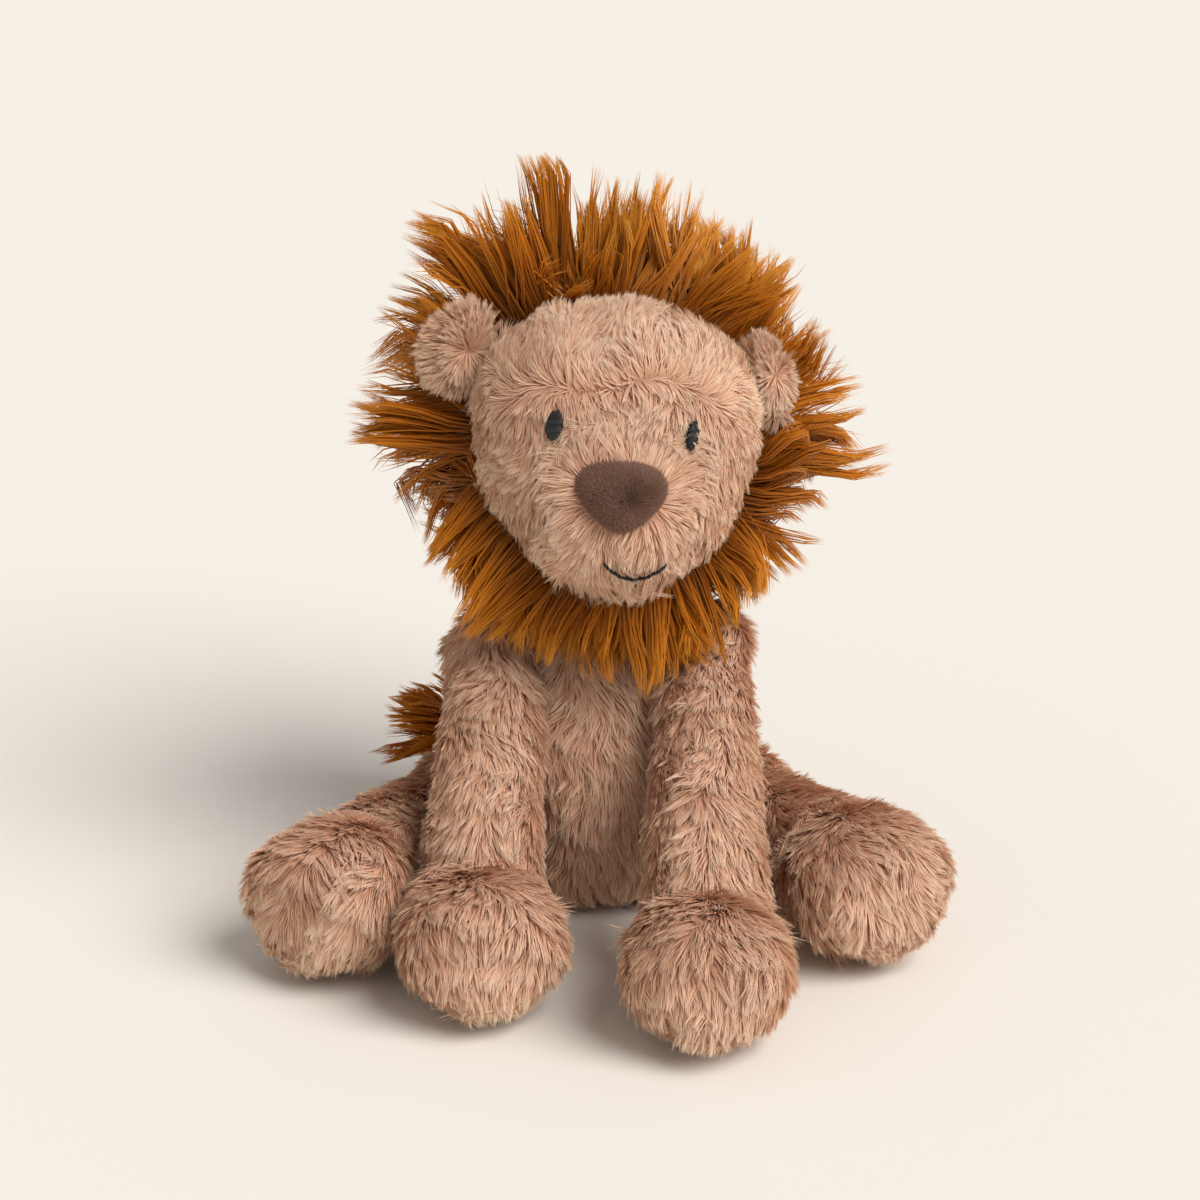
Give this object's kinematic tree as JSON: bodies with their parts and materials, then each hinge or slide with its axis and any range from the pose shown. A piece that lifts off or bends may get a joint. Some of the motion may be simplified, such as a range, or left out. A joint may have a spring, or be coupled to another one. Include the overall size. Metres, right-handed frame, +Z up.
{
  "type": "plush lion",
  "caption": "Seated soft toy lion with a turning head in a long-pile mane, limp jointed legs with pellet-filled paws, ears that fold and a tufted tail.",
  "frame": {"origin": "Middle of the flat seat under the torso, on the floor.", "axes": "+Z up, the face looks along -Y, +X is the toy's own left."},
  "size_m": [0.2118, 0.2049, 0.224],
  "materials": {
    "plush": "short tan pile fabric",
    "long_pile": "long ginger pile fabric",
    "nose_cloth": "very short dark brown pile",
    "thread": "near-black embroidery thread",
    "fibre": "loose white fibre filling",
    "pouch_cloth": "plain woven pouch of pellets"
  },
  "bodies": {
    "torso": {"torso_skin": "plush", "torso_filling": "fibre", "seat_pellet_pouch": "pouch_cloth", "closing_seam": "thread"},
    "neck": {"neck_plug": "plush"},
    "head": {"head_skin": "plush", "head_filling": "fibre", "nose_patch": "nose_cloth", "eye_left": "thread", "eye_right": "thread", "mouth_stitch": "thread", "mane_crown": "long_pile", "mane_beard": "long_pile"},
    "left_ear": {"ear_left": "plush"},
    "right_ear": {"ear_right": "plush"},
    "left_front_leg": {"front_leg_left_skin": "plush", "front_leg_left_filling": "fibre", "front_leg_left_pellet_pouch": "pouch_cloth"},
    "right_front_leg": {"front_leg_right_skin": "plush", "front_leg_right_filling": "fibre", "front_leg_right_pellet_pouch": "pouch_cloth"},
    "left_hind_leg": {"hind_leg_left_skin": "plush", "hind_leg_left_filling": "fibre", "hind_leg_left_pellet_pouch": "pouch_cloth"},
    "right_hind_leg": {"hind_leg_right_skin": "plush", "hind_leg_right_filling": "fibre", "hind_leg_right_pellet_pouch": "pouch_cloth"},
    "tail": {"tail": "plush", "tail_tuft": "long_pile"}
  },
  "joints": [
    {"name": "neck_turn", "type": "hinge", "parent": "torso", "child": "neck", "pos_m": [0.001, -0.009, 0.10878], "axis": [0, 0, 1], "range_deg": [-25, 25]},
    {"name": "head_nod", "type": "hinge", "parent": "neck", "child": "head", "pos_m": [0.001, -0.009, 0.10878], "axis": [1, 0, 0], "range_deg": [-12, 4]},
    {"name": "left_ear_fold", "type": "hinge", "parent": "head", "child": "left_ear", "pos_m": [0.0457, -0.01568, 0.17021], "axis": [0.3798, -0.0739, -0.9221], "range_deg": [0, 25]},
    {"name": "right_ear_fold", "type": "hinge", "parent": "head", "child": "right_ear", "pos_m": [-0.03497, -0.01988, 0.17724], "axis": [0.5235, 0.1208, 0.8434], "range_deg": [0, 25]},
    {"name": "left_front_leg_swing", "type": "hinge", "parent": "torso", "child": "left_front_leg", "pos_m": [0.03272, -0.02377, 0.084], "axis": [-1, 0, 0], "range_deg": [0, 28]},
    {"name": "right_front_leg_swing", "type": "hinge", "parent": "torso", "child": "right_front_leg", "pos_m": [-0.03272, -0.02377, 0.084], "axis": [-1, 0, 0], "range_deg": [0, 28]},
    {"name": "left_hind_leg_lift", "type": "hinge", "parent": "torso", "child": "left_hind_leg", "pos_m": [0.04699, -0.00744, 0.024], "axis": [-0.8719, -0.4897, 0], "range_deg": [0, 20]},
    {"name": "right_hind_leg_lift", "type": "hinge", "parent": "torso", "child": "right_hind_leg", "pos_m": [-0.04699, -0.00744, 0.024], "axis": [-0.8984, 0.4393, 0], "range_deg": [0, 20]},
    {"name": "tail_swing", "type": "hinge", "parent": "torso", "child": "tail", "pos_m": [0, 0.0382, 0.014], "axis": [0, 0, -1], "range_deg": [0, 60]}
  ]
}
